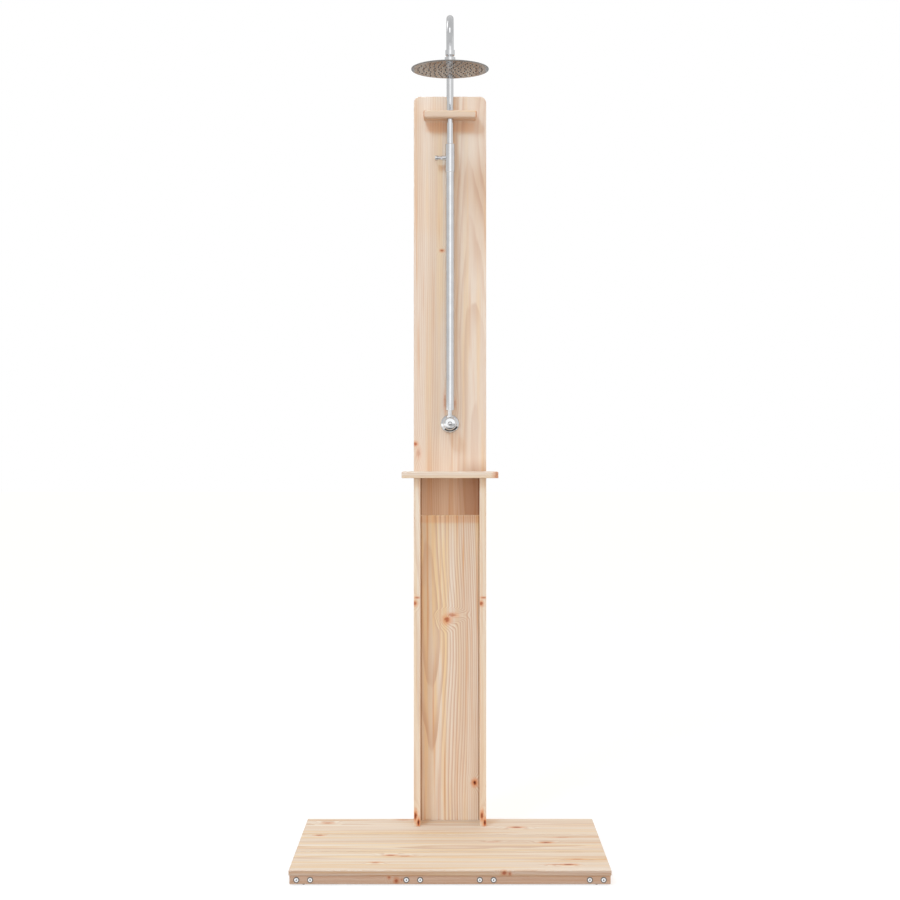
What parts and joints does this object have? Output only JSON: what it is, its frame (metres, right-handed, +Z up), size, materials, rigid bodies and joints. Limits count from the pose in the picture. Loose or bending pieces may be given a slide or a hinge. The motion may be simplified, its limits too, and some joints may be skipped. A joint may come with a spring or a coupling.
{
  "type": "outdoor shower post",
  "caption": "Free-standing wooden shower post on a low tray, with shelf, quarter-turn valve, telescopic steel riser, swinging gooseneck and tilting round rain head.",
  "frame": {"origin": "on the floor, under the middle of the whole outline (tray and rear water inlet)", "axes": "+Z up, -Y towards the user who stands on the tray, -X to the left as the user faces the post"},
  "size_m": [0.8, 0.5782, 2.2385],
  "materials": {
    "pine": "planed solid pine, clear matt",
    "polished_steel": "mirror polished",
    "head_face_steel": "mirror polished, slightly darker",
    "zinc_screws": "bright zinc",
    "brass": "machined",
    "white_plastic": "moulded",
    "black_plastic": "moulded",
    "grey_silicone": "soft matt",
    "black_rubber": "matt",
    "white_ceramic": "lapped"
  },
  "bodies": {
    "post": {"deck_board_front": "pine", "deck_board_middle": "pine", "deck_board_back": "pine", "front_rail": "pine", "back_rail": "pine", "joist_outer_left": "pine", "joist_inner_left": "pine", "joist_inner_right": "pine", "joist_outer_right": "pine", "left_side_board": "pine", "right_side_board": "pine", "lower_back_board": "pine", "upper_back_panel": "pine", "shelf_board": "pine", "tube_guide_bar": "pine", "tube_foot_reducer": "polished_steel", "lower_riser_tube": "polished_steel", "clamp_sleeve": "polished_steel", "valve_body": "polished_steel", "wall_rosette": "polished_steel", "front_rail_screws": "zinc_screws", "back_rail_screws": "zinc_screws", "deck_screws": "zinc_screws", "post_base_screws": "zinc_screws", "back_board_screws": "zinc_screws", "shelf_screws": "zinc_screws", "guide_bar_screws": "zinc_screws", "clamp_pad": "brass", "valve_bonnet": "brass", "inlet_lock_nut": "brass", "sleeve_guide_bush": "white_plastic", "foot_glides": "black_plastic", "inlet_washer": "black_rubber", "fixed_ceramic_disc": "white_ceramic"},
    "riser_guide": {"riser_plug": "white_plastic", "riser_seal_ring": "black_rubber"},
    "riser": {"upper_riser_tube": "polished_steel", "arm_end_nut": "polished_steel", "swivel_ball": "polished_steel"},
    "ball_seat": {"ball_seat_ring": "white_plastic"},
    "rain_head": {"socket_collar": "polished_steel", "head_inlet_boss": "polished_steel", "head_top_shell": "polished_steel", "head_face_plate": "head_face_steel", "nozzle_mat": "grey_silicone", "nozzle_tips": "grey_silicone"},
    "valve_handle": {"valve_knob": "polished_steel", "knob_button": "polished_steel", "knob_screw": "zinc_screws", "valve_stem": "brass", "moving_ceramic_disc": "white_ceramic"},
    "clamp_handle": {"clamp_knob": "polished_steel", "clamp_screw": "brass"}
  },
  "joints": [
    {"name": "riser_slide", "type": "slide", "parent": "post", "child": "riser_guide", "axis": [0, 0, 1], "range_m": [-0.09, 0.2]},
    {"name": "riser_turn", "type": "hinge", "parent": "riser_guide", "child": "riser", "pos_m": [0, 0.218, 1.56], "axis": [0, 0, 1], "continuous": true},
    {"name": "head_tilt", "type": "hinge", "parent": "riser", "child": "ball_seat", "pos_m": [0, -0.062, 2.0945], "axis": [1, 0, 0], "range_deg": [-15, 15]},
    {"name": "head_roll", "type": "hinge", "parent": "ball_seat", "child": "rain_head", "pos_m": [0, -0.062, 2.0945], "axis": [0, 1, 0], "range_deg": [-15, 15]},
    {"name": "valve_turn", "type": "hinge", "parent": "post", "child": "valve_handle", "pos_m": [0, 0.218, 1.148], "axis": [0, -1, 0], "range_deg": [0, 90]},
    {"name": "clamp_turn", "type": "hinge", "parent": "post", "child": "clamp_handle", "pos_m": [-0.03, 0.218, 1.889], "axis": [-1, 0, 0], "range_deg": [0, 270]}
  ]
}
